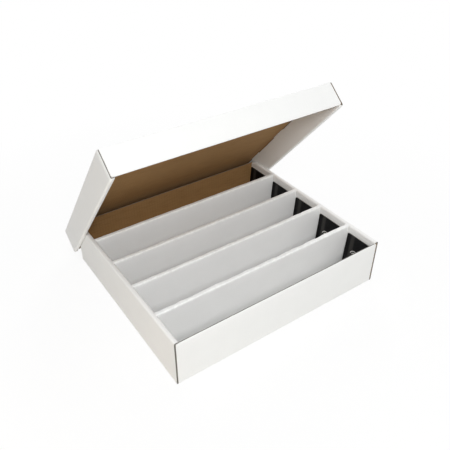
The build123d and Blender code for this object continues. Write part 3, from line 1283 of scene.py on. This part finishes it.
@dataclass
class RowCard:
    """A black card that leans on the end wall of its row, with a plain pale print."""

    finishes: Finishes
    number: int
    corner: float = 3.2 * MM
    corner_rows: tuple[float, ...] = (0.0, 0.03, 0.12, 0.3, 0.6, 1.0)    # shares of a corner
    curl: float = 0.35 * MM
    step: float = 2.6 * MM
    ink_height: float = 0.04 * MM
    ink_steps: int = 22
    arc_centre: Pair = (26 * MM, 34 * MM)
    arc_radii: Pair = (5.6 * MM, 10.2 * MM)
    arc_width: float = 1.6 * MM
    arc_degrees: Pair = (15, 165)

    def frame_of(self, node: str) -> tuple[Matrix, float, float, float]:
        """Find how the CAD card lies.

        Args:
            node: CAD node of the card.

        Returns:
            The card's own frame, with X across, Y up it and Z out of its face, and its
            width, height and thickness.
        """
        mesh = frame["nodes"][node].data
        leftward = [polygon for polygon in mesh.polygons if polygon.normal.x < -0.5]
        normal = max(leftward, key=lambda polygon: polygon.area).normal.normalized()
        across = Vector((0, -1, 0))
        upward = normal.cross(across).normalized()
        extents = []
        for axis in (across, upward, normal):
            reach = [vertex.co.dot(axis) for vertex in mesh.vertices]
            extents.append((min(reach), max(reach)))
        origin = across * extents[0][0] + upward * extents[1][0] + normal * extents[2][1]
        turn = Matrix((across, upward, normal)).transposed().to_4x4()
        width, height, thickness = (high - low for low, high in extents)
        return Matrix.Translation(origin) @ turn, width, height, thickness

    def inset(self, off_end: float) -> float:
        """How far the rounded corners draw the outline in at a distance from an end."""
        left = max(0.0, self.corner - off_end)
        return self.corner - math.sqrt(self.corner**2 - left**2)

    def outline(self, width: float, height: float) -> list[list[Pair]]:
        """Lay places over the whole card.

        Args:
            width: The card's width.
            height: The card's height.

        Returns:
            The places, column by column.
        """
        close = [self.corner * share for share in self.corner_rows]
        middle = even_steps(self.corner, height - self.corner, self.step)[1:-1]
        levels = close + middle + [height - off for off in reversed(close)]
        insets = [self.inset(min(y, height - y)) for y in levels]
        return [
            [(inset + (width - 2 * inset) * share, y) for y, inset in zip(levels, insets)]
            for share in even_steps(0.0, 1.0, self.step / width)
        ]

    def arc(self, radius: float) -> list[list[Pair]]:
        """Lay places along a printed arc.

        Args:
            radius: The arc's radius.

        Returns:
            Its inner and outer places, from its right end to its left.
        """
        first, last = self.arc_degrees
        reaches = (radius - self.arc_width / 2, radius + self.arc_width / 2)
        x, y = self.arc_centre
        angles = map(math.radians, even_steps(first, last, (last - first) / self.ink_steps))
        return [[(x + r * math.cos(a), y + r * math.sin(a)) for r in reaches] for a in angles]

    def build(self) -> None:
        """Make the card, and its print as a film of ink that lies on it."""
        node = f"row_card_{self.number}"
        matrix, width, height, thickness = self.frame_of(node)

        def grid(places: list[list[Pair]], rise: float) -> Grid:
            """Make the spots of a face that curls slightly with the card.

            Args:
                places: Places on the card, column by column.
                rise: The face's height off the card's front.

            Returns:
                The spots, column by column.
            """
            found: Grid = [[] for _ in places]
            for made, column in zip(found, places):
                for x, y in column:
                    bow = math.sin(math.pi * x / width) * math.sin(math.pi * y / height)
                    point = Vector((x, y, rise - self.curl * bow))
                    made.append(Spot(point, (x, y + self.number, 0.0), 0.0))
            return found

        mesh = PaperMesh()
        outline, back = self.outline(width, height), self.curl - thickness
        mesh.add_sheet(grid(outline, 0.0), grid(outline, back), (Ply.WHITE, Ply.WHITE, Ply.KRAFT))
        for arc in map(self.arc, self.arc_radii):
            ink = grid(arc, self.ink_height), grid(arc, -self.ink_height)
            mesh.add_sheet(*ink, (Ply.FLUTING, Ply.FLUTING, Ply.FLUTING))
        piece = mesh.piece(f"{node}_print", self.finishes.card(), matrix)
        dress(piece, f"card_{self.number}", "card", node)


# -------------------------------------------------------------------------- studio


def aim(thing: bpy.types.Object, place: Sequence[float], target: Sequence[float]) -> None:
    """Put a lamp or camera at a place and turn it towards a target.

    Args:
        thing: The lamp or camera.
        place: Where it stands.
        target: What it looks at.
    """
    thing.location = place
    thing.rotation_euler = (Vector(target) - Vector(place)).to_track_quat("-Z", "Y").to_euler()


@dataclass
class Softbox:
    """A square area lamp aimed at the box."""

    name: str
    place: Place
    target: Place
    side: float
    watts: float
    colour: str = "#ffffff"

    def build(self) -> None:
        """Hang the lamp."""
        data = bpy.data.lights.new(self.name, "AREA")
        data.shape, data.size, data.energy = "SQUARE", self.side, self.watts
        data.color = linear(self.colour)[:3]
        lamp = bpy.data.objects.new(self.name, data)
        bpy.context.scene.collection.objects.link(lamp)
        lamp.visible_camera = False
        aim(lamp, self.place, self.target)


@dataclass
class Studio:
    """Camera, floor, world and lamps."""

    camera_place: Place = (-0.4882, -0.7127, 0.7377)
    camera_target: Place = (0.0455, 0.0579, 0.060)
    focal_pixels: float = 537.6
    sensor_width: float = 36.0         # millimetres, as Blender has it
    clip: Pair = (0.01, 50.0)
    floor_side: float = 14.0
    floor_gap: float = 0.3 * MM        # under the box, so that no two faces share a plane
    world_strength: float = 0.34
    world_colour: str = "#ffffff"
    softboxes: tuple[Softbox, ...] = (
        Softbox("front_softbox", (-0.65, -1.6, 1.7), (0, 0, 0.1), 0.6, 25.5),
        Softbox("top_softbox", (-0.1, -0.1, 2.1), (0, 0, 0.1), 1.6, 11.0, "#f8fbff"),
        Softbox("low_front_fill", (-0.4, -1.5, 0.4), (0, 0, 0.15), 0.5, 0.7),
        Softbox("low_left_fill", (-0.7, -0.3, 0.1), (-0.24, -0.1, 0.05), 0.12, 0.35, "#ffe4c4"),
        Softbox("back_right_fill", (1.5, 1.7, 1.2), (0, 0, 0.1), 1.0, 17.0),
    )

    def build(self) -> None:
        """Set the studio up."""
        self.make_camera()
        self.make_floor()
        self.make_world()
        for softbox in self.softboxes:
            softbox.build()

    def make_camera(self) -> None:
        """Stand the camera where the photograph was taken from."""
        data = bpy.data.cameras.new("camera")
        data.sensor_width = self.sensor_width
        data.lens = self.focal_pixels / IMAGE_PIXELS * self.sensor_width
        data.clip_start, data.clip_end = self.clip
        camera = bpy.data.objects.new("camera", data)
        bpy.context.scene.collection.objects.link(camera)
        aim(camera, self.camera_place, self.camera_target)
        bpy.context.scene.camera = camera

    def make_floor(self) -> None:
        """Lay the plain floor under the box."""
        half = self.floor_side / 2
        mesh = bpy.data.meshes.new("floor")
        corners = [(-half, -half, 0), (half, -half, 0), (half, half, 0), (-half, half, 0)]
        mesh.from_pydata(corners, [], [(0, 1, 2, 3)])
        mesh.materials.append(StudioSweep().make())
        floor = bpy.data.objects.new("floor", mesh)
        bpy.context.scene.collection.objects.link(floor)
        floor.location.z = -self.floor_gap

    def make_world(self) -> None:
        """Light the room evenly; the camera sees plain white."""
        world = bpy.data.worlds.new("white_room")
        world.use_nodes = True
        tree = world.node_tree
        tree.nodes.clear()
        light = add_node(
            tree, "ShaderNodeBackground",
            {"Color": linear(self.world_colour), "Strength": self.world_strength},
        )
        seen = add_node(tree, "ShaderNodeBackground", {"Strength": 1.0, "Color": (1, 1, 1, 1)})
        mixed = add_node(
            tree, "ShaderNodeMixShader", links={0: seen_straight(tree), 1: light, 2: seen}
        )
        add_node(tree, "ShaderNodeOutputWorld", links={"Surface": mixed})
        bpy.context.scene.world = world
        bpy.context.scene.view_settings.view_transform = "Standard"


# ---------------------------------------------------------------------------- main


def main() -> None:
    """Build the studio and the box, piece by piece."""
    logging.basicConfig(level=logging.INFO, format="%(name)s %(message)s")
    Studio().build()
    finishes = Finishes()
    Tray(finishes).build()
    Lid(finishes).build()
    Insert(finishes).build()
    for number in range(1, ROWS + 1):
        RowCard(finishes, number).build()
    bpy.context.view_layer.update()


if __name__ == "__main__":
    main()
